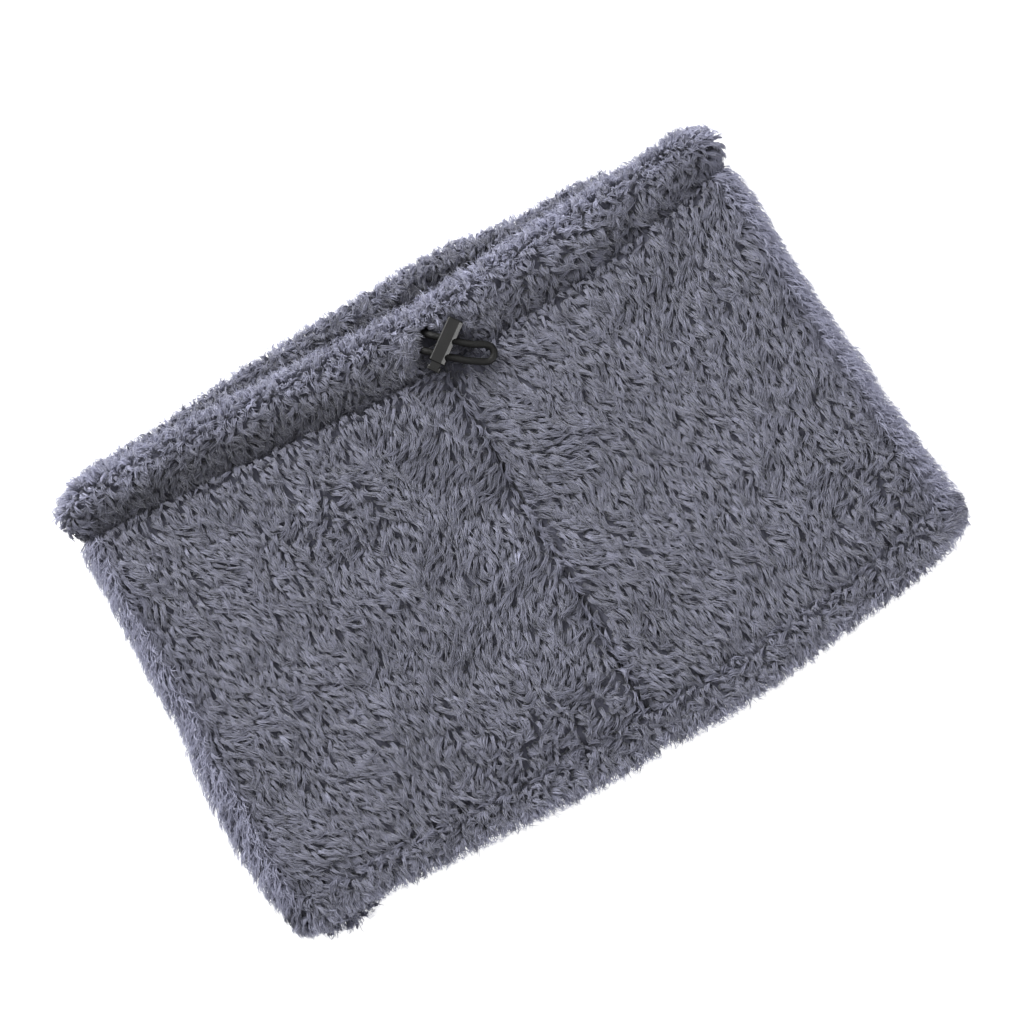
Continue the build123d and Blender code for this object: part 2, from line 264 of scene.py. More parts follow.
def tube_mesh(name, line, radius, sides):
    """A closed tube along a line. radius is a number, or an array of one radius per point."""
    firsts, seconds = carried_frames(line)
    angles = np.arange(sides) * 2 * math.pi / sides
    around = (
        firsts[:, None] * np.cos(angles)[None, :, None]
        + seconds[:, None] * np.sin(angles)[None, :, None]
    )
    radius = np.broadcast_to(np.asarray(radius, float), (len(line), sides))
    rings = line[:, None] + around * radius[..., None]
    places = np.concatenate([rings.reshape(-1, 3), line[:1], line[-1:]])
    faces = grid_faces(len(line), sides, closed=True)
    first_cap, last_cap = len(places) - 2, len(places) - 1
    last_ring = (len(line) - 1) * sides
    caps = []
    for i in range(sides):
        following = (i + 1) % sides
        caps.append((first_cap, following, i))
        caps.append((last_cap, last_ring + i, last_ring + following))
    return mesh_from(name, places, [*faces.tolist(), *caps])


def grid_faces(rows, columns, closed):
    """Quads of a grid whose points are numbered row by row; closed joins the last column to the first."""
    row, column = np.meshgrid(
        np.arange(rows - 1), np.arange(columns if closed else columns - 1), indexing="ij"
    )
    following = (column + 1) % columns
    quads = np.stack(
        [
            row * columns + column,
            row * columns + following,
            (row + 1) * columns + following,
            (row + 1) * columns + column,
        ],
        axis=-1,
    )
    return quads.reshape(-1, 4)


def mesh_from(name, places, faces):
    """A smooth-shaded mesh from places in millimetres."""
    mesh = bpy.data.meshes.new(name)
    mesh.from_pydata((np.asarray(places) * MM).tolist(), [], faces)
    mesh.polygons.foreach_set("use_smooth", [True] * len(mesh.polygons))
    mesh.update()
    return mesh


def braided(line, radius, sides):
    """Radii of a braided sleeve: two families of strands wind round it and cross."""
    turn = BRAID_STRANDS * np.arange(sides)[None, :] * 2 * math.pi / sides
    climb = 2 * math.pi * distances(line)[:, None] / BRAID_PITCH
    strands = np.maximum(np.abs(np.sin((turn + climb) / 2)), np.abs(np.sin((turn - climb) / 2)))
    return radius * (0.9 + 0.1 * strands)


def add_loop(material):
    line = spaced(cord_line(LOOP_ROUTE), 0.22)
    sides = 48
    mesh = tube_mesh("cord_loop", line, braided(line, CORD_DIAMETER / 2, sides), sides)
    loop = add_piece("cord_loop", mesh, material)
    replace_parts(loop, "drawcord_loop")


# ---- materials


def new_material(name, colour, roughness, specular=0.3):
    material = bpy.data.materials.new(name)
    material.use_nodes = True
    sockets = shader_sockets(material)
    sockets["Base Color"].default_value = (*colour, 1.0)
    sockets["Roughness"].default_value = roughness
    sockets["Specular IOR Level"].default_value = specular
    return material


def shader_sockets(material):
    return material.node_tree.nodes["Principled BSDF"].inputs


def add_node(material, kind, **values):
    """A node whose sockets have the given values; an underscore stands for a space."""
    node = material.node_tree.nodes.new(kind)
    for name, value in values.items():
        node.inputs[name.replace("_", " ")].default_value = value
    return node


def link(material, output, socket):
    material.node_tree.links.new(output, socket)


def add_noise(material, scale, detail, stretch=(1.0, 1.0, 1.0)):
    """The value of a noise texture in the object's own coordinates."""
    place = add_node(material, "ShaderNodeTexCoord")
    mapping = add_node(material, "ShaderNodeMapping", Scale=stretch)
    noise = add_node(material, "ShaderNodeTexNoise", Scale=scale, Detail=detail)
    link(material, place.outputs["Object"], mapping.inputs["Vector"])
    link(material, mapping.outputs["Vector"], noise.inputs["Vector"])
    return noise.outputs["Fac"]


def link_colours(material, factor, dark, light, low=0.35, high=0.65):
    """Base colour from dark to light as factor goes from low to high."""
    ramp = add_node(material, "ShaderNodeValToRGB")
    ramp.color_ramp.elements[0].position = low
    ramp.color_ramp.elements[1].position = high
    ramp.color_ramp.elements[0].color = (*dark, 1.0)
    ramp.color_ramp.elements[1].color = (*light, 1.0)
    link(material, factor, ramp.inputs["Fac"])
    link(material, ramp.outputs["Color"], shader_sockets(material)["Base Color"])


def link_bump(material, factor, height, strength=1.0):
    """A bump on the shader's normal, height in millimetres."""
    bump = add_node(material, "ShaderNodeBump", Strength=strength, Distance=height * MM)
    link(material, factor, bump.inputs["Height"])
    link(material, bump.outputs["Normal"], shader_sockets(material)["Normal"])


def link_roughness(material, factor, low, high):
    spread = add_node(material, "ShaderNodeMapRange", To_Min=low, To_Max=high)
    link(material, factor, spread.inputs["Value"])
    link(material, spread.outputs["Result"], shader_sockets(material)["Roughness"])


def shaded(colour, factor):
    return tuple(value * factor for value in colour)


FLEECE = (0.176, 0.179, 0.234)
# The lightest shades serve mostly for painted light on rims and fuzz, the darkest for painted shade under
# the casing and inside the tube's openings.
SHADES = (0.43, 0.64, 0.84, 1.0, 1.18, 1.48, 2.15)
COMMON_SHADE = 3            # its number in the list
# Painted shade: each strand's root takes a darker copy of its shade, standing in for the shade deep in
# the pile.
ROOT_PAINTED_SHADE = 0.8            # of a strand's root next to its outer half


def pile_material(name, colour):
    """Fibre: sheen and a fine grain that catches the light."""
    material = new_material(name, colour, 0.62, specular=0.25)
    sockets = shader_sockets(material)
    sockets["Sheen Weight"].default_value = 0.37
    sockets["Sheen Roughness"].default_value = 0.4
    sockets["Sheen Tint"].default_value = (0.93, 0.94, 1.0, 1.0)
    grain = add_noise(material, 2600.0, 2.0)
    lift = add_node(material, "ShaderNodeDisplacement", Scale=0.09 * MM, Midlevel=0.5)
    link(material, grain, lift.inputs["Height"])
    output = material.node_tree.nodes["Material Output"]
    link(material, lift.outputs["Displacement"], output.inputs["Displacement"])
    material.displacement_method = "BUMP"
    return material


def ground_material():
    material = new_material("fleece_ground", shaded(FLEECE, 0.6), 0.9, specular=0.1)
    shader_sockets(material)["Sheen Weight"].default_value = 0.3
    knit = add_noise(material, 900.0, 4.0, stretch=(1.0, 0.35, 1.0))
    link_colours(material, knit, shaded(FLEECE, 0.45), shaded(FLEECE, 0.75))
    link_bump(material, knit, 0.5)
    return material


def thread_material():
    material = new_material("thread", (0.1, 0.1, 0.13), 0.6)
    twist = add_noise(material, 1500.0, 2.0, stretch=(1.0, 2.5, 1.0))
    link_colours(material, twist, (0.07, 0.07, 0.095), (0.15, 0.15, 0.19))
    link_bump(material, twist, 0.12)
    return material


def cord_material():
    """Black braided sleeve, a little uneven in colour and gloss."""
    material = new_material("elastic_cord", (0.007, 0.007, 0.007), 0.55, specular=0.3)
    weave = add_noise(material, 1800.0, 3.0)
    link_colours(material, weave, (0.003, 0.003, 0.003), (0.009, 0.009, 0.009))
    link_roughness(material, weave, 0.42, 0.68)
    link_bump(material, weave, 0.08)
    return material


def lock_material():
    """Satin moulded plastic with a fine spark-eroded grain."""
    material = new_material("lock_plastic", (0.006, 0.006, 0.006), 0.3, specular=0.34)
    grain = add_noise(material, 2400.0, 2.0)
    cloud = add_noise(material, 220.0, 3.0)
    link_colours(material, cloud, (0.004, 0.004, 0.004), (0.008, 0.008, 0.008))
    link_roughness(material, grain, 0.26, 0.36)
    link_bump(material, grain, 0.02, strength=0.5)
    return material


def steel_material():
    material = new_material("spring_steel", (0.55, 0.55, 0.56), 0.3)
    shader_sockets(material)["Metallic"].default_value = 1.0
    drawn = add_noise(material, 1200.0, 2.0, stretch=(1.0, 4.0, 1.0))
    link_colours(material, drawn, (0.46, 0.46, 0.47), (0.6, 0.6, 0.61))
    link_roughness(material, drawn, 0.22, 0.4)
    return material


def floor_material():
    """White studio board that glows a little, so that it stays white round the fleece."""
    material = new_material("floor", (0.86, 0.86, 0.86), 0.8)
    sockets = shader_sockets(material)
    sockets["Emission Color"].default_value = (1.0, 1.0, 1.0, 1.0)
    sockets["Emission Strength"].default_value = 0.6
    return material


def add_floor():
    corners = [(-1, -1, 0), (1, -1, 0), (1, 1, 0), (-1, 1, 0)]
    places = FLOOR_REACH * np.array(corners)
    floor = link_object("floor", mesh_from("floor", places, [(0, 1, 2, 3)]))
    floor.data.materials.append(floor_material())


# ---- shape of the fleece tube


def smooth_line(points):
    """A function from x to y that runs smoothly through the points."""
    xs, ys = np.array(points, float).T
    slopes = np.gradient(ys, xs)

    def height(x):
        x = np.clip(x, xs[0], xs[-1])
        i = np.clip(np.searchsorted(xs, x) - 1, 0, len(xs) - 2)
        gap = xs[i + 1] - xs[i]
        t = (x - xs[i]) / gap
        return (
            ys[i] * (1 + 2 * t) * (1 - t) ** 2
            + ys[i + 1] * (3 - 2 * t) * t**2
            + gap * (slopes[i] * t * (1 - t) ** 2 - slopes[i + 1] * t**2 * (1 - t))
        )

    return height


def half_width(y):
    slope = (TOP_HALF_WIDTH - BOTTOM_HALF_WIDTH) / (TOP_Y - BOTTOM_Y)
    return BOTTOM_HALF_WIDTH + slope * (y - BOTTOM_Y)


def girth(y):
    """The way round the tube at height y."""
    return 4 * (half_width(y) - MID) + 2 * FOLD_LENGTH


def round_tube(way, y):
    """Where way, the share of the way round from the front's middle to the right, is at height y.

    Gives x on the tube's spine, the turn of the outward normal from straight up, and the
    side: -1 left, 1 right."""
    s = from_middle(way, y)
    side = np.where(s < 0, -1.0, 1.0)
    flat = half_width(y) - MID
    past = np.abs(s) - flat
    turn = np.clip(past / MID, 0.0, math.pi)
    over_back = flat - (past - FOLD_LENGTH)
    spine = np.where(past < 0, np.abs(s), np.where(past > FOLD_LENGTH, over_back, flat))
    return side * spine, turn, side


def from_middle(way, y):
    """Millimetres round the tube from the front's middle, from minus half the girth to half."""
    return ((way + 0.5) % 1.0 - 0.5) * girth(y)


def tube_place(way, y, depth):
    spine, turn, side = round_tube(way, y)
    reach = MID - depth
    return np.stack([spine + side * reach * np.sin(turn), y, MID + reach * np.cos(turn)], axis=-1)


def height_on(pair, way, near_y):
    """Y of a front and back pair of lines, blended round the side folds."""
    front, back = pair
    spine, turn, side = round_tube(way, np.full_like(way, near_y))
    x = spine + side * MID * np.sin(turn)
    share = (1 + np.cos(turn)) / 2
    return share * front(x) + (1 - share) * back(x)


TOP = (smooth_line(FRONT_TOP), smooth_line(BACK_TOP))
STITCH = (smooth_line(FRONT_STITCH), smooth_line(BACK_STITCH))
HEM = (smooth_line(FRONT_HEM), smooth_line(BACK_HEM))
BOTTOM = (smooth_line(FRONT_BOTTOM), smooth_line(BACK_BOTTOM))


def seam_x(y):
    share = (y - SEAM_BOTTOM[1]) / (SEAM_TOP[1] - SEAM_BOTTOM[1])
    return SEAM_BOTTOM[0] + share * (SEAM_TOP[0] - SEAM_BOTTOM[0])


def seam_y(u):
    """Height on the seam's line: u runs from the hem's stitching, 0, to the casing's, 1."""
    return height_on(HEM, np.zeros_like(u), HEM_Y) + u * SEAM_LENGTH


def seam_nearness(way, y, reach):
    """1 on the front seam's line, falling to 0 away from it."""
    return np.exp(-(((from_middle(way, y) - seam_x(y)) / reach) ** 2))


class Ripples:
    """A smooth random field through space: waves of about one length, each at its own slant."""

    def __init__(self, length, seed, count=16):
        random = np.random.default_rng(seed)
        slants = unit(random.normal(size=(count, 3)))
        lengths = length * random.uniform(0.7, 1.5, count)
        self.waves = slants * (2 * math.pi / lengths)[:, None]
        self.phases = random.uniform(0, 2 * math.pi, count)

    def at(self, places):
        waves = np.sin(places @ self.waves.T + self.phases)
        return waves.sum(axis=-1) * math.sqrt(2 / len(self.phases))


BROAD = Ripples(70.0, 1)
MEDIUM = Ripples(24.0, 2)
SMALL = Ripples(9.0, 3)
SIDE_SWELL_Y = [-90, -80, -70, -50, -30, 0, 30, 60, 73, 80, 90]
LEFT_SWELL = [-3.2, -1.2, 1.0, 2.9, 3.3, 1.0, 0.0, 0.2, -1.1, -0.8, -2.0]
RIGHT_SWELL = [-3.0, -0.4, 1.5, 0.0, 0.0, 0.1, -0.6, 0.3, 1.8, 0.1, -3.6]


def uneven(way, y):
    """How far the soft tube swells outward, unevenly, at a place."""
    places = tube_place(way, y, 0.0)
    lift = 0.55 * BROAD.at(places) + 0.35 * MEDIUM.at(places)
    _, turn, side = round_tube(way, y)
    left, right = (np.interp(y, SIDE_SWELL_Y, swell) for swell in (LEFT_SWELL, RIGHT_SWELL))
    return lift * (1 - resting_share(turn)) + np.where(side < 0, left, right) * np.sin(turn) ** 2


def resting_share(turn):
    """1 where the tube lies on the surface, 0 from its side folds upward."""
    return np.clip(-np.cos(turn), 0.0, 1.0)


def band_swell(way, y, turn):
    """How far the outer face of the casing or the hem swells outward."""
    ruffled = 0.5 * MEDIUM.at(tube_place(way, y, 0.0)) * (1 - resting_share(turn))
    return ruffled + uneven(way, y) * np.sin(turn) ** 2


def body_place(way, u):
    """The panel's ground: u runs from the hem's stitching, 0, to the casing's, 1."""
    low, high = height_on(HEM, way, HEM_Y), height_on(STITCH, way, STITCH_Y)
    y = low + u * (high - low)
    near_top = np.exp(-(((high - y) / PINCH_REACH) ** 2))
    near_bottom = np.exp(-(((y - low) / PINCH_REACH) ** 2))
    _, turn, _ = round_tube(way, y)
    drawn = PINCH * (1 - 0.7 * np.sin(turn) ** 2)
    depth = BODY_DEPTH + drawn * (near_top + 0.6 * near_bottom) - uneven(way, y)
    depth = depth + SEAM_PINCH * seam_nearness(way, y, SEAM_REACH)
    return tube_place(way, y, depth)


def band_place(t, stitch, edge, outer, inner, sink, reach):
    """A band folded over at the edge. t: 0 to 1 outer face, 1 to 2 round the rim, 2 to 3 inner face.

    Both faces swell like an arch: sink deeper at the stitching than reach away from it."""
    radius = (inner - outer) / 2
    middle = (inner + outer) / 2
    sign = np.sign(edge - stitch)
    straight = np.abs(edge - stitch) - radius
    outside, inside = np.clip(t, 0, 1), np.clip(t - 2, 0, 1)
    angle = np.clip(t - 1, 0, 1) * math.pi
    along = straight * (outside - inside) + radius * np.sin(angle)
    depth = middle - radius * np.cos(angle)
    from_stitch = np.where(t < 1, outside, 1 - inside) * straight
    arch = (1 - np.clip(from_stitch / reach, 0, 1)) ** 2
    depth = depth + np.where(t < 1.5, sink, -0.25 * sink) * arch
    return stitch + sign * along, depth


def casing_place(way, t):
    stitch, edge = height_on(STITCH, way, STITCH_Y), height_on(TOP, way, RIM_Y)
    notch = seam_nearness(way, edge, NOTCH_REACH)
    _, turn, _ = round_tube(way, edge)
    resting = resting_share(turn)
    outer = CASING_DEPTH + 1.0 * resting
    sink = 1.7 * PINCH * (1 - resting)
    y, depth = band_place(t, stitch, edge - 1.6 * notch, outer, CASING_INNER_DEPTH, sink, CASING_ROUND)
    outside = np.clip(2 - t, 0.0, 1.0)
    return tube_place(way, y, depth - band_swell(way, y, turn) * outside + 1.2 * notch * outside)


def hem_place(way, t):
    """The hem's band, with t the other way round, so that it rises on the outer face."""
    stitch, edge = height_on(HEM, way, HEM_Y), height_on(BOTTOM, way, BOTTOM_EDGE_Y)
    notch = seam_nearness(way, edge, NOTCH_REACH)
    _, turn, _ = round_tube(way, edge)
    resting = resting_share(turn)
    outer = HEM_DEPTH + 0.3 * resting
    sink = 1.1 * PINCH * (1 - resting)
    y, depth = band_place(3 - t, stitch, edge + 2.4 * notch, outer, HEM_INNER_DEPTH, sink, HEM_ROUND)
    return tube_place(way, y, depth - band_swell(way, y, turn) * np.clip(t - 1, 0.0, 1.0))


def frames_at(place, way, t):
    """Roots, outward normals, and the directions of growing t, for places on a ground."""
    step, step_t = 0.001, 0.02
    root = place(way, t)
    across = unit(place(way + step, t) - place(way - step, t))
    rise = unit(place(way, t + step_t) - place(way, t - step_t))
    normal = unit(np.cross(across, rise))
    return root, normal, unit(np.cross(normal, across))


# ---- knitted ground


def cloth(name, place, ways, t_values, ring, material, hole=None):
    """A closed sheet of ground. hole(way, t) says which cells are left out of both its faces."""
    way, t = np.meshgrid(ways, t_values, indexing="xy")
    rows, columns = way.shape
    way, t = way.ravel(), t.ravel()
    root, normal, _ = frames_at(place, way, t)
    inner = root - normal * CLOTH
    quads = grid_faces(rows, columns, closed=ring)
    if hole is not None:
        quads = quads[~hole(way[quads].mean(axis=1), t[quads].mean(axis=1))]
    faces = sheet_faces(quads, len(root))
    mesh = mesh_from(name, *without_loose(np.concatenate([root, inner]), faces))
    return add_piece(name, mesh, material)


def sheet_faces(quads, count):
    """Faces of a thin closed sheet: quads, the same on its other side, and walls along the edges.

    The other side's places follow the first side's, count of them."""
    edges = np.concatenate([quads[:, [i, (i + 1) % 4]] for i in range(4)])
    edges = set(map(tuple, edges.tolist()))
    walls = [(b, a, a + count, b + count) for a, b in edges if (b, a) not in edges]
    return [*quads.tolist(), *(quads[:, ::-1] + count).tolist(), *walls]


def without_loose(places, faces):
    """The same faces, without the places that none of them uses."""
    used = sorted({i for face in faces for i in face})
    renumbered = {old: new for new, old in enumerate(used)}
    return places[used], [tuple(renumbered[i] for i in face) for face in faces]


def ring_stations(count):
    """Places once round the tube, finer about the opening."""
    left, right = (x / girth(sum(OPENING_Y) / 2) for x in OPENING_X)
    return np.concatenate([np.linspace(left, right, 7), np.linspace(right, left + 1, count)[1:-1]])


def over_opening(way, t):
    """True in the opening: between its edges in x and y, on the casing's outer face."""
    y = casing_place(way, t)[:, 1]
    x = from_middle(way, y)
    in_x = (x > OPENING_X[0]) & (x < OPENING_X[1])
    in_y = (y > OPENING_Y[0]) & (y < OPENING_Y[1])
    return in_x & in_y & (t < 1)


def panel_place(share, u):
    """The panel from one side of the front seam, share 0, round the back to its other side, 1."""
    y = seam_y(u)
    start = (seam_x(y) + SEAM_GAP) / girth(y)
    return body_place(start + share * (1 - 2 * SEAM_GAP / girth(y)), u)


def add_grounds(material):
    around = ring_stations(178)
    shares, heights = np.linspace(0, 1, 190), np.linspace(0.005, 0.995, 60)
    panel = cloth("panel_ground", panel_place, shares, heights, False, material)
    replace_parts(panel, "fleece_body")
    rim = np.linspace(1.05, 1.95, 12)
    casing_t = np.concatenate([np.linspace(0.02, 0.98, 14), rim, np.linspace(2.02, 2.98, 8)])
    casing = cloth("casing_ground", casing_place, around, casing_t, True, material, hole=over_opening)
    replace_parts(casing, "drawcord_casing")
    hem_t = np.concatenate([np.linspace(0.02, 0.98, 5), rim, np.linspace(2.02, 2.98, 6)])
    hem = cloth("hem_ground", hem_place, around, hem_t, True, material)
    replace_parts(hem, "bottom_hem")
    return panel, casing, hem


# ---- pile

RING_STATIONS = np.array([0.0, 0.26, 0.52, 0.78, 1.0])
STRAND_SIDES = 3
MAX_STRANDS = 8600          # in one piece
LOWEST = 0.25               # no strand comes nearer to the resting surface
OPENING_LOCKS = 260         # before those that would lie over the opening are left out


def scatter(random, spacing, t_range, t_step):
    """Jittered places on a staggered grid, once round the tube, about spacing apart."""
    columns = round(girth(0.0) / spacing)
    way = (np.arange(columns) + 0.5) / columns - 0.5
    t = np.arange(*t_range, t_step)
    way, t = np.meshgrid(way, t, indexing="xy")
    way = way + (np.arange(len(way)) % 2)[:, None] / 2 / columns
    way = way + random.uniform(-0.45, 0.45, way.shape) / columns
    t = t + random.uniform(-0.45, 0.45, t.shape) * t_step
    return way.ravel(), t.ravel()


def lie_of_pile(x, y, turn):
    """Degrees that the pile leans towards +X as it runs down, over the front."""
    left = np.interp(x, [-140, -100, -65, -30, -10, 9], [30, 24, 14, -2, -24, -34])
    right = np.interp(x, [9, 16, 35, 55, 75, 95, 135], [36, 31, 20, 11, 0, -12, -24])
    lean = np.where(x < seam_x(y), left, right)
    swirl = np.exp(-(((x + 48) / 24) ** 2 + ((y - 36) / 17) ** 2))
    lean = lean + 46 * swirl * np.sin((x + 48) / 11 + (y - 36) / 17)
    return lean * np.clip(np.cos(turn), -0.6, 1.0)


class Locks:
    """Locks of fibre: where each is rooted, how it lies and how it is shaped."""

    def __init__(self, random, place, way, t):
        self.random = random
        self.root, self.normal, self.rise = frames_at(place, way, t)
        self.count = len(way)
        self.t = t
        _, self.turn, _ = round_tube(way, self.root[:, 1])

    def keep(self, chosen):
        for name, value in list(vars(self).items()):
            if isinstance(value, np.ndarray):
                setattr(self, name, value[chosen])
        self.count = int(chosen.sum())

    def uniform(self, low, high):
        return self.random.uniform(low, high, self.count)

    def normally(self, middle, spread):
        return self.random.normal(middle, spread, self.count)

    def draw(self, **ranges):
        """Gives every lock a value in each named range."""
        for name, (low, high) in ranges.items():
            setattr(self, name, self.uniform(low, high))

    def comb(self, lean):
        """Lays the locks down the cloth, lean radians towards the front's right."""
        across = np.cross(self.rise, self.normal)
        self.lie = -self.rise * np.cos(lean)[:, None] + across * np.sin(lean)[:, None]
        self.over = np.cross(self.normal, self.lie)


def strand_places(locks, strands, strays, thickness):
    """Centre lines and radii of every lock's strands: (locks, strands, stations, 3).

    The last few of them are strays, finer than the others, which stand out of the lock."""
    count, random = locks.count, locks.random
    tau = RING_STATIONS
    column = (slice(None), None, None)
    free = (np.arange(strands) >= strands - strays).astype(float)[None, :]
    fan = np.concatenate([np.linspace(-1, 1, strands - strays), np.zeros(strays)])[None, :]
    fan = fan + random.normal(0, 1, (count, strands)) * (0.18 + 0.6 * free)
    stack = np.sqrt(np.clip(1 - fan**2, 0, 1)) * random.uniform(-0.3, 1.0, (count, strands))
    reach = locks.length[:, None] * random.uniform(0.7, 1.05, (count, strands)) * (1 + 0.15 * free)
    bend = locks.bend[:, None] + random.normal(0, 0.2, (count, strands)) * (1 + 1.6 * free)
    bend = np.clip(np.where(np.abs(bend) < 0.05, 0.05, bend), -1.7, 1.7)
    run = tau[None, None, :] ** 1.25
    ahead = np.sin(bend[..., None] * run) / bend[..., None]
    aside = (1 - np.cos(bend[..., None] * run)) / bend[..., None]
    spread = np.interp(tau, [0, 0.3, 0.6, 1.0], [0.8, 1.0, 0.75, 0.12])
    spread = spread + 0.6 * tau * free[..., None]
    height = np.interp(tau, [0, 0.26, 0.52, 0.78, 1.0], [0.0, 0.68, 0.98, 1.0, 0.74])
    stacking = np.interp(tau, [0, 0.3, 0.7, 1.0], [0.1, 0.8, 0.9, 0.25])
    sideways = aside * reach[..., None] + fan[..., None] * locks.width[column] * spread
    sway = locks.sway[column] + random.normal(0, 0.12, (count, strands, 1))
    sway = sway * np.sin(tau * 4.6 + locks.phase[column])
    tip_lift = locks.tip[column] * np.clip(tau - 0.6, 0, 1) ** 2 * 6.0
    standing = random.uniform(0.15, 1.1, (count, strands, 1)) * free[..., None] * locks.stand[column]
    upward = locks.lift[column] * height + stack[..., None] * locks.loft[column] * stacking
    upward = upward + tip_lift + standing * tau
    places = (
        locks.root[:, None, None, :]
        + locks.lie[:, None, None, :] * (ahead * reach[..., None])[..., None]
        + locks.over[:, None, None, :] * (sideways + sway)[..., None]
        + locks.normal[:, None, None, :] * upward[..., None]
    )
    taper = np.interp(tau, [0, 0.3, 0.7, 1.0], [0.85, 1.0, 0.85, 0.0])
    unequal = random.uniform(0.75, 1.25, (count, strands, 1))
    radii = thickness * (1 - 0.55 * free[..., None]) * unequal * taper
    return places, radii


def strand_vertices(places, radii, sideways):
    """Rings of points round each strand and one point at its tip."""
    tangents = unit(np.gradient(places, axis=-2))
    first = unit(sideways - tangents * (sideways * tangents).sum(-1, keepdims=True))
    second = np.cross(tangents, first)
    corners = []
    for k in range(STRAND_SIDES):
        angle = 2 * math.pi * k / STRAND_SIDES + math.pi / 2
        offset = first * math.cos(angle) + second * math.sin(angle)
        corners.append(places + offset * radii[..., None])
    rings = np.stack(corners, axis=-2)[..., :-1, :, :]
    strands = rings.reshape(-1, (len(RING_STATIONS) - 1) * STRAND_SIDES, 3)
    tips = places[..., -1, :].reshape(-1, 1, 3)
    return np.concatenate([strands, tips], axis=1)


def strand_faces():
    """One strand's faces: quads between rings, triangles at the tip and the root."""
    rings = len(RING_STATIONS) - 1
    quads = grid_faces(rings, STRAND_SIDES, closed=True).tolist()
    last = (rings - 1) * STRAND_SIDES
    tip = rings * STRAND_SIDES
    triangles = [(last + k, last + (k + 1) % STRAND_SIDES, tip) for k in range(STRAND_SIDES)]
    return [*quads, *triangles, tuple(reversed(range(STRAND_SIDES)))]


def strand_mesh(name, vertices, shades, materials):
    """One mesh of many strands. shades has each strand's number in the list of shades."""
    count, per_strand, _ = vertices.shape
    faces = strand_faces()
    sizes = np.array([len(face) for face in faces])
    corners = np.concatenate([np.array(face) for face in faces])
    loops = (np.arange(count)[:, None] * per_strand + corners[None, :]).ravel()
    totals = np.tile(sizes, count)
    starts = np.concatenate([[0], np.cumsum(totals)[:-1]])
    is_root = np.zeros(len(faces), bool)
    is_root[:STRAND_SIDES] = True
    is_root[-1] = True
    # Root faces take the darker root material: painted shade at the foot of each strand.
    material_index = (shades[:, None] * 2 + is_root[None, :]).ravel()
    mesh = bpy.data.meshes.new(name)
    mesh.vertices.add(count * per_strand)
    mesh.vertices.foreach_set("co", (vertices * MM).astype(np.float32).ravel())
    mesh.loops.add(len(loops))
    mesh.loops.foreach_set("vertex_index", loops.astype(np.int32))
    mesh.polygons.add(len(totals))
    mesh.polygons.foreach_set("loop_start", starts.astype(np.int32))
    mesh.polygons.foreach_set("use_smooth", np.ones(len(totals), bool))
    for material in materials:
        mesh.materials.append(material)
    mesh.polygons.foreach_set("material_index", material_index.astype(np.int32))
    mesh.update(calc_edges=True)
    return mesh


def add_pile(name, locks, strands, strays, thickness, materials):
    """The locks' strands, in as many pieces as their number needs."""
    places, radii = strand_places(locks, strands, strays, thickness)
    places[..., 2] = np.maximum(places[..., 2], LOWEST + radii)
    sideways = np.broadcast_to(locks.over[:, None, None, :], places.shape)
    vertices = strand_vertices(places, radii, sideways)
    # Painted light: strays, which stand out of the pile, take the next lighter shade, as if lit through.
    strays_painted_lighter = np.arange(strands) >= strands - strays
    shades = np.minimum(locks.shade[:, None] + strays_painted_lighter, len(SHADES) - 1).ravel()
    order = np.argsort(np.repeat(locks.root[:, 0], strands), kind="stable")
    vertices, shades = vertices[order], shades[order]
    parts = math.ceil(len(vertices) / MAX_STRANDS)
    pieces = []
    for number, chosen in enumerate(np.array_split(np.arange(len(vertices)), parts), 1):
        mesh = strand_mesh(f"{name}_{number}", vertices[chosen], shades[chosen], materials)
        piece = link_object(f"{name}_{number}", mesh)
        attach(piece, BODY)
        pieces.append(piece)
    return pieces


def choose_shades(locks, bias=0.0):
    """Lighter and darker locks, in loose patches, shifted by bias, which callers also use for painted
    light and painted shade.
    """
    value = 0.25 * SMALL.at(locks.root) + 0.25 * MEDIUM.at(locks.root) + locks.normally(0, 0.6)
    locks.shade = np.clip(np.round(COMMON_SHADE + bias + value), 0, len(SHADES) - 1).astype(int)


def keep_clear(locks):
    """Presses the pile down under the cord lock and its way of travel."""
    x, y = locks.root[:, 0], locks.root[:, 1]
    along = np.array(LOCK_AXIS[:2])
    travel = unit(np.array([1.0, -1.0]))
    away = np.full(locks.count, np.inf)
    for distance in np.linspace(*LOCK_SLIDE, 6):
        centre = np.array(LOCK_CENTRE[:2]) + travel * distance
        offset = np.stack([x, y], axis=1) - centre
        lengthwise = np.clip(offset @ along, *LOCK_ENDS)
        away = np.minimum(away, np.linalg.norm(offset - lengthwise[:, None] * along, axis=1))
    beyond = np.clip(away - LOCK_HALF_WIDTH, 0, None)
    pressed = np.exp(-((beyond / PRESS_FADE) ** 2)) * (locks.turn < 0.5)
    locks.lift = locks.lift * (1 - 0.42 * pressed)
    locks.loft = locks.loft * (1 - 0.6 * pressed)
    locks.tip = locks.tip * (1 - pressed)
    locks.stand = locks.stand * (1 - pressed)
    locks.length = locks.length * (1 - 0.25 * pressed)


def curly_patch(x, y):
    """Where the panel's pile has been ruffled: near the hem, left of the seam, and at the swirl."""
    patch = np.exp(-(((x + 22) / 34) ** 2 + ((y + 68) / 13) ** 2))
    swirl = 0.7 * np.exp(-(((x + 50) / 24) ** 2 + ((y - 34) / 15) ** 2))
    corner = 0.6 * np.exp(-(((x - 122) / 18) ** 2 + ((y + 52) / 24) ** 2))
    return np.clip(patch + swirl + corner, 0, 1)


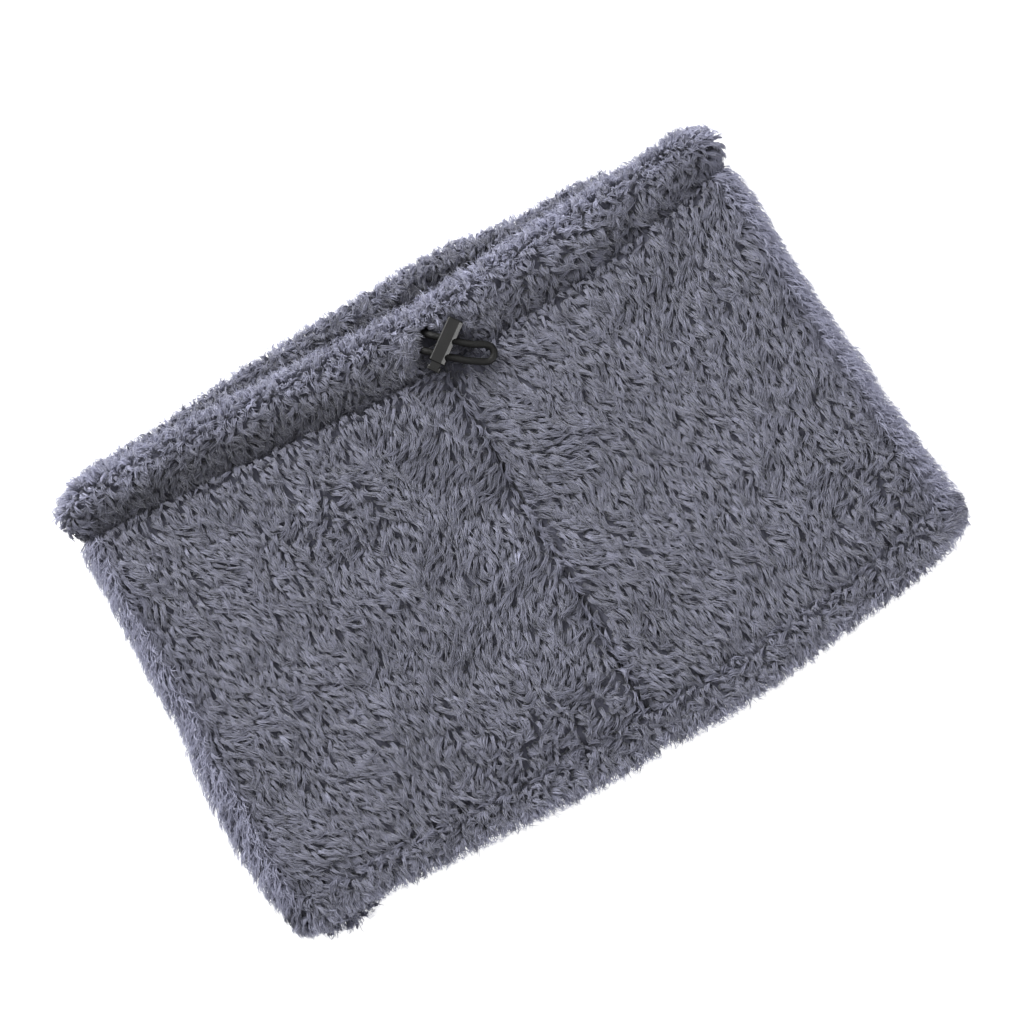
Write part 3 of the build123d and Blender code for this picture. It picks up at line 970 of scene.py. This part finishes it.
def panel_locks(random, spacing, u_step, front):
    way, u = scatter(random, spacing, (0.008, 0.995), u_step)
    locks = Locks(random, body_place, way, u)
    facing_up = locks.turn < 0.62 * math.pi
    from_seam = np.abs(from_middle(way, locks.root[:, 1]) - seam_x(locks.root[:, 1]))
    locks.keep((facing_up == front) & (from_seam > 0.5))
    x, y = locks.root[:, 0], locks.root[:, 1]
    curly = curly_patch(x, y) * (locks.turn < 1.2)
    sideward = np.sin(locks.turn) ** 2
    at_top = locks.t > 0.97
    lean = np.radians(lie_of_pile(x, y, locks.turn))
    lean = lean + 0.2 * MEDIUM.at(locks.root) + 0.15 * SMALL.at(locks.root)
    lean = lean + locks.normally(0, 0.14)
    lean = lean + curly * (0.9 * SMALL.at(locks.root + 50.0) + locks.normally(0, 0.5))
    locks.comb(lean)
    locks.length = locks.uniform(5.8, 8.8) * (1 - 0.3 * curly) * np.where(at_top, 0.7, 1.0)
    locks.bend = 0.3 * SMALL.at(locks.root - 90.0) + locks.normally(0, 0.28) * (1 + 1.7 * curly)
    locks.draw(width=(0.45, 0.85))
    locks.lift = locks.uniform(2.4, 3.5) + 0.6 * curly + 0.4 * SMALL.at(locks.root + 20.0)
    locks.draw(loft=(0.3, 0.7))
    locks.tip = locks.uniform(-0.6, 0.25) + 0.6 * curly
    locks.stand = 1 + 1.2 * sideward
    locks.sway = locks.normally(0, 0.42) * (1 + 0.6 * curly)
    locks.draw(phase=(-0.6, 0.6))
    return locks


def shape_fuzz(locks, reach, stand_off):
    """Fine hairs that stand out of the pile. The two pairs are ranges in millimetres."""
    locks.comb(locks.normally(0, 0.5))
    locks.draw(length=reach)
    locks.bend = locks.normally(0, 0.5)
    locks.draw(width=(0.3, 0.8), lift=stand_off, tip=(0.0, 2.2))
    locks.loft = np.zeros(locks.count)
    locks.stand = np.full(locks.count, 1.4)
    locks.sway = locks.normally(0, 0.3)
    locks.phase = np.zeros(locks.count)


def add_edge_fuzz(materials):
    """Fuzz along the panel's two side folds."""
    random = np.random.default_rng(17)
    locks = Locks(random, body_place, *scatter(random, 1.35, (0.01, 0.995), 1.75 / PANEL_HEIGHT))
    locks.keep((locks.turn > 0.2 * math.pi) & (locks.turn < 0.6 * math.pi))
    shape_fuzz(locks, (4.0, 7.0), (3.4, 5.2))
    # Painted light: the fuzz on the side folds takes much lighter shades, for their bright, lit-through
    # edges.
    choose_shades(locks, bias=3.1)
    return add_pile("panel_fuzz", locks, 3, 3, 0.26, materials)


def add_rim_fuzz(name, place, seed, t_range, materials):
    """Fuzz along the folded edge of the casing or the hem."""
    random = np.random.default_rng(seed)
    locks = Locks(random, place, *scatter(random, 1.7, t_range, 0.1))
    shape_fuzz(locks, (2.2, 4.8), (2.8, 4.8))
    # Painted light: the fuzz on the folded rims takes lighter shades, for their lit-through edges.
    choose_shades(locks, bias=2.2)
    keep_clear(locks)
    rest_on_floor(locks)
    return add_pile(name, locks, 3, 3, 0.24, materials)


def rest_on_floor(locks):
    """Presses the back's pile flat where the gaiter lies on it."""
    room = np.clip(locks.root[:, 2] - 0.9, 0.4, None)
    down = np.clip(-locks.normal[:, 2], 0, 1)
    share = np.minimum(1.0, room / np.maximum((locks.lift + locks.loft) * down, 0.01))
    locks.lift = locks.lift * share
    locks.loft = locks.loft * share
    locks.tip = np.where(down > 0.3, 0.0, locks.tip)
    locks.stand = np.where(down > 0.3, 0.0, locks.stand)


def add_panel_pile(materials):
    random = np.random.default_rng(11)
    locks = panel_locks(random, 2.0, 2.35 / PANEL_HEIGHT, front=True)
    choose_shades(locks)
    keep_clear(locks)
    pieces = add_pile("panel_pile_front", locks, 7, 1, 0.22, materials)
    locks = panel_locks(random, 2.9, 3.1 / PANEL_HEIGHT, front=False)
    choose_shades(locks)
    rest_on_floor(locks)
    pieces += add_pile("panel_pile_back", locks, 6, 1, 0.36, materials)
    return pieces + add_edge_fuzz(materials)


def band_locks(random, place, spacing, t_range, t_step):
    """Curly locks on a folded band."""
    locks = Locks(random, place, *scatter(random, spacing, t_range, t_step))
    lean = 0.45 * SMALL.at(locks.root) + 0.35 * MEDIUM.at(locks.root)
    locks.lean = lean + locks.normally(0, 0.4)
    locks.draw(length=(4.6, 7.0))
    locks.bend = locks.normally(0, 0.65)
    locks.draw(width=(0.5, 0.9), lift=(2.2, 3.5), loft=(0.4, 0.9), tip=(-0.3, 0.8))
    locks.stand = np.full(locks.count, 1.0)
    locks.sway = locks.normally(0, 0.5)
    locks.draw(phase=(-0.8, 0.8))
    return locks


def tuft_rim(locks, rim):
    """Makes the locks along a rim stand out of it as pointed tufts, in groups."""
    group = 0.5 + 0.5 * np.clip(SMALL.at(1.7 * locks.root), -1.5, 1.5)
    locks.length = locks.length * (1 - 0.45 * rim)
    locks.bend = locks.bend * (1 - 0.5 * rim)
    locks.lift = locks.lift * (1 + rim * (0.05 + 0.25 * group))
    locks.tip = locks.tip + rim * locks.uniform(0.5, 2.0)
    locks.stand = locks.stand + 1.2 * rim


def add_casing_pile(materials):
    random = np.random.default_rng(23)
    locks = band_locks(random, casing_place, 2.1, (0.02, 2.95), 0.12)
    x, y = locks.root[:, 0], locks.root[:, 1]
    over = (x > OPENING_X[0] - 0.6) & (x < OPENING_X[1] + 0.4)
    over = over & (y > OPENING_Y[0] - 0.4) & (y < OPENING_Y[1] + 0.4)
    locks.keep(~(over & (locks.t < 1.3)))
    parting = 1.1 + 0.12 * SMALL.at(locks.root) + locks.normally(0, 0.1)
    upward = (locks.t > parting) & (locks.t < 1.9)
    locks.comb(locks.lean + np.where(upward, math.pi, 0.0))
    # rim marks the folded rim: it shapes the tufts there, and in the shade bias below it also gives
    # painted light, lighter locks on the lit rim.
    rim = np.exp(-(((locks.t - 1.25) / 0.45) ** 2))
    tuft_rim(locks, rim)
    x = locks.root[:, 0]
    # Painted shade: darker locks on the lower part of the casing's outer face, towards its stitching,
    # most on the left.
    painted_shade_reach = np.interp(x, [-140, -90, 0, 60], [0.6, 0.85, 0.7, 0.55])
    low = np.interp(x, [-140, -90, 0, 60, 140], [2.2, 4.4, 3.2, 1.2, 0.6])
    low = low * np.exp(-((locks.t / painted_shade_reach) ** 4))
    # Painted shade: much darker locks on the casing's inner face, inside the tube's mouth.
    inside = np.clip((locks.t - 1.9) / 0.4, 0, 1)
    choose_shades(locks, bias=2.0 * rim - low - 2.8 * inside)
    at_end = (locks.t < 0.15) & (np.sin(locks.turn) > 0.7)
    locks.length = locks.length * np.where(at_end, 0.6, 1.0)
    keep_clear(locks)
    rest_on_floor(locks)
    pieces = add_pile("casing_pile", locks, 7, 2, 0.26, materials)
    pieces += add_rim_fuzz("casing_fuzz", casing_place, 29, (1.05, 1.8), materials)
    return pieces + add_opening_tufts(materials)


def add_opening_tufts(materials):
    """Tufts of the casing that hang over the opening's left end, up to the cord lock's side."""
    random = np.random.default_rng(53)
    way = random.uniform(-2.5, 8.5, OPENING_LOCKS) / girth(STITCH_Y - 2.0)
    locks = Locks(random, casing_place, way, random.uniform(0.06, 0.98, OPENING_LOCKS))
    locks.keep((locks.root[:, 0] < OPENING_X[0]) | (locks.root[:, 1] > OPENING_Y[1]))
    offset = locks.root[:, :2] - LOCK_CENTRE[:2]
    along = offset @ np.array(LOCK_AXIS[:2])
    aside = offset @ np.array([-LOCK_AXIS[1], LOCK_AXIS[0]])
    room = aside - np.interp(along, [-4.5, -2.0], [5.3, 8.8])
    locks.length = np.clip(room, 2.0, 8.0) * locks.uniform(0.8, 1.05)
    locks.keep(room > 1.5)
    locks.comb(locks.normally(0.65, 0.55))
    locks.bend = locks.normally(0, 1.0)
    locks.draw(width=(0.5, 0.9))
    locks.lift = locks.uniform(3.6, 5.8) * np.minimum(1, locks.length / 5.5)
    locks.draw(loft=(0.4, 0.9), tip=(-0.5, 0.4))
    locks.stand = np.full(locks.count, 0.6)
    locks.sway = locks.normally(0, 0.9)
    locks.draw(phase=(-0.8, 0.8))
    choose_shades(locks, bias=locks.normally(-0.4, 0.7))
    return add_pile("opening_tufts", locks, 6, 1, 0.26, materials)


def add_hem_pile(materials):
    random = np.random.default_rng(37)
    locks = band_locks(random, hem_place, 2.1, (0.05, 2.97), 0.18)
    locks.comb(locks.lean * 0.8)
    tuft_rim(locks, np.exp(-(((locks.t - 1.55) / 0.45) ** 2)))
    # Painted shade: the hem's inner face, inside the tube's opening, takes much darker shades; the rest
    # is a little darker.
    choose_shades(locks, bias=np.where(locks.t < 1.2, -1.5, -0.3))
    rest_on_floor(locks)
    pieces = add_pile("hem_pile", locks, 7, 2, 0.27, materials)
    return pieces + add_rim_fuzz("hem_fuzz", hem_place, 41, (1.1, 2.0), materials)


# ---- stitching


def stitch_row(name, centres, directions, normals, length, material):
    """Separate stitches, each a bowed thread that dips into the cloth at both ends."""
    bow = np.linspace(-1, 1, 7)
    sides = 8
    places, faces = [], []
    for centre, direction, normal in zip(centres, directions, normals):
        line = (
            centre
            + np.outer(bow * length / 2, direction)
            + np.outer(0.55 * (1 - bow**2) - 0.5 * bow**4, normal)
        )
        start = len(places)
        radius = 0.26 * np.sqrt(np.clip(1.04 - bow**6, 0.05, 1))
        firsts, seconds = carried_frames(line)
        for point, first, second, size in zip(line, firsts, seconds, radius):
            for k in range(sides):
                angle = 2 * math.pi * k / sides
                places.append(point + size * (first * math.cos(angle) + second * math.sin(angle)))
        faces.extend((grid_faces(len(line), sides, closed=True) + start).tolist())
        faces.append(tuple(reversed(range(start, start + sides))))
        last = start + (len(line) - 1) * sides
        faces.append(tuple(range(last, last + sides)))
    return add_piece(name, mesh_from(name, np.array(places), faces), material)


STITCH_PITCH = 3.4
STITCH_LENGTH = 2.9
TACK_TURNS = 13
TACK_THREAD = 0.48
TACK_MARGIN = 0.3           # from the thread's centre to the edge of the tack's block


def add_stitch_rows(material):
    count = round(girth(0.0) / STITCH_PITCH)
    way = (np.arange(count) + 0.5) / count
    for name, place, t, node in (
        ("casing_stitches", casing_place, 0.03, "casing_thread"),
        ("hem_stitches", hem_place, 2.97, "hem_thread"),
    ):
        level = np.full_like(way, t)
        root, normal, rise = frames_at(place, way, level)
        along = np.cross(rise, normal)
        piece = stitch_row(name, root + 0.2 * normal, along, normal, STITCH_LENGTH, material)
        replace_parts(piece, node)
    u = np.arange(0.03, 0.97, STITCH_PITCH / SEAM_LENGTH)
    y = seam_y(u)
    root, normal, rise = frames_at(body_place, seam_x(y) / girth(y), u)
    piece = stitch_row("seam_stitches", root + 0.5 * normal, rise, normal, STITCH_LENGTH, material)
    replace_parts(piece, "front_seam_thread")


def add_tack(name, node, material, axis):
    """A bar tack: a dense zigzag of thread over the middle of its CAD block."""
    low, high = cad_corners(node)
    centre, size = (low + high) / 2, high - low
    station = np.linspace(-1, 1, TACK_TURNS * 8 + 1)
    line = np.zeros((len(station), 3)) + centre
    other = 1 - axis
    line[:, axis] += station * (size[axis] / 2 - TACK_MARGIN)
    line[:, other] += np.cos(station * math.pi * TACK_TURNS) * (size[other] / 2 - TACK_MARGIN)
    line[:, 2] += np.sin(station * math.pi * TACK_TURNS * 2) * 0.12
    mesh = tube_mesh(name, line, TACK_THREAD / 2, 8)
    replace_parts(add_piece(name, mesh, material), node)


def add_allowance(name, node, material, side):
    """A turned-in edge of the panel behind the seam: a soft strip, wavy along its raw edge."""
    low, high = cad_corners(node)
    ys = np.linspace(low[1] + 1.5, high[1] - 1.5, 70)
    across = np.linspace(0, 1, 7)
    y, a = np.meshgrid(ys, across, indexing="ij")
    width = 7.6 + 0.5 * np.sin(y / 7.0) + 0.3 * np.sin(y / 2.9)
    x = seam_x(y) + side * (0.2 + a * width)
    droop = 0.5 * a**2 * np.sin(y / 11.0 + side)
    thick = 0.9 * np.sqrt(np.clip(1 - (2 * a - 1) ** 6, 0.08, 1))
    z = (low[2] + high[2]) / 2 + droop
    top = np.stack([x, y, z + thick], axis=-1).reshape(-1, 3)
    bottom = np.stack([x, y, z - thick], axis=-1).reshape(-1, 3)
    rows, columns = y.shape
    quads = grid_faces(rows, columns, closed=False)
    if side > 0:
        quads = quads[:, ::-1]
    mesh = mesh_from(name, np.concatenate([top, bottom]), sheet_faces(quads, len(top)))
    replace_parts(add_piece(name, mesh, material), node)


# ---- cord lock


def add_spring(material):
    """The cord lock's coil spring, which shortens as the button is pressed."""
    low, high = cad_corners("lock_spring")
    centre = (low + high) / 2
    axis = np.array(LOCK_AXIS)
    over = np.cross((0.0, 0.0, 1.0), axis)
    radius = (SPRING_DIAMETER - SPRING_WIRE) / 2
    length = SPRING_LENGTH - SPRING_WIRE
    share = np.linspace(0, 1, 150)
    angle = share * 2 * math.pi * SPRING_COILS
    pitch = np.interp(share, [0, 0.12, 0.88, 1], [0, 0.05, 0.95, 1])
    line = (
        centre
        + np.outer((pitch - 0.5) * length, axis)
        + np.outer(radius * np.cos(angle), over)
        + np.outer(radius * np.sin(angle), (0.0, 0.0, 1.0))
    )
    mesh = tube_mesh("spring_coil", line, SPRING_WIRE / 2, 10)
    spring = add_piece("spring_coil", mesh, material, body="cord_lock")
    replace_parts(spring, "lock_spring")
    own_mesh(spring)


def dress_node(name, material):
    node = NODES[name]
    node.data.materials.clear()
    node.data.materials.append(material)


# ---- the whole object

add_camera()
cord = cord_material()
add_loop(cord)
add_light()
add_floor()

ground = ground_material()
thread = thread_material()
plastic = lock_material()
pile_materials = []
for number, shade in enumerate(SHADES):
    colour = shaded(FLEECE, shade)
    pile_materials.append(pile_material(f"pile_{number}", colour))
    # Each shade also gets a darker copy for the roots, painted shade at the pile's foot.
    pile_materials.append(pile_material(f"pile_root_painted_shade_{number}", shaded(colour, ROOT_PAINTED_SHADE)))

panel, casing, hem = add_grounds(ground)
panel_pile = add_panel_pile(pile_materials)
casing_pile = add_casing_pile(pile_materials)
hem_pile = add_hem_pile(pile_materials)

add_stitch_rows(thread)
add_tack("opening_bar_tack_upper", "opening_tack_upper", thread, 0)
add_tack("opening_bar_tack_lower", "opening_tack_lower", thread, 0)
add_tack("cord_end_bar_tack", "cord_anchor_tack", thread, 1)
add_allowance("seam_edge_left", "seam_allowance_left", ground, -1)
add_allowance("seam_edge_right", "seam_allowance_right", ground, 1)

for node in ("drawcord_left", "drawcord_right"):
    dress_node(node, cord)
for node in ("lock_housing", "lock_plunger"):
    dress_node(node, plastic)
add_spring(steel_material())
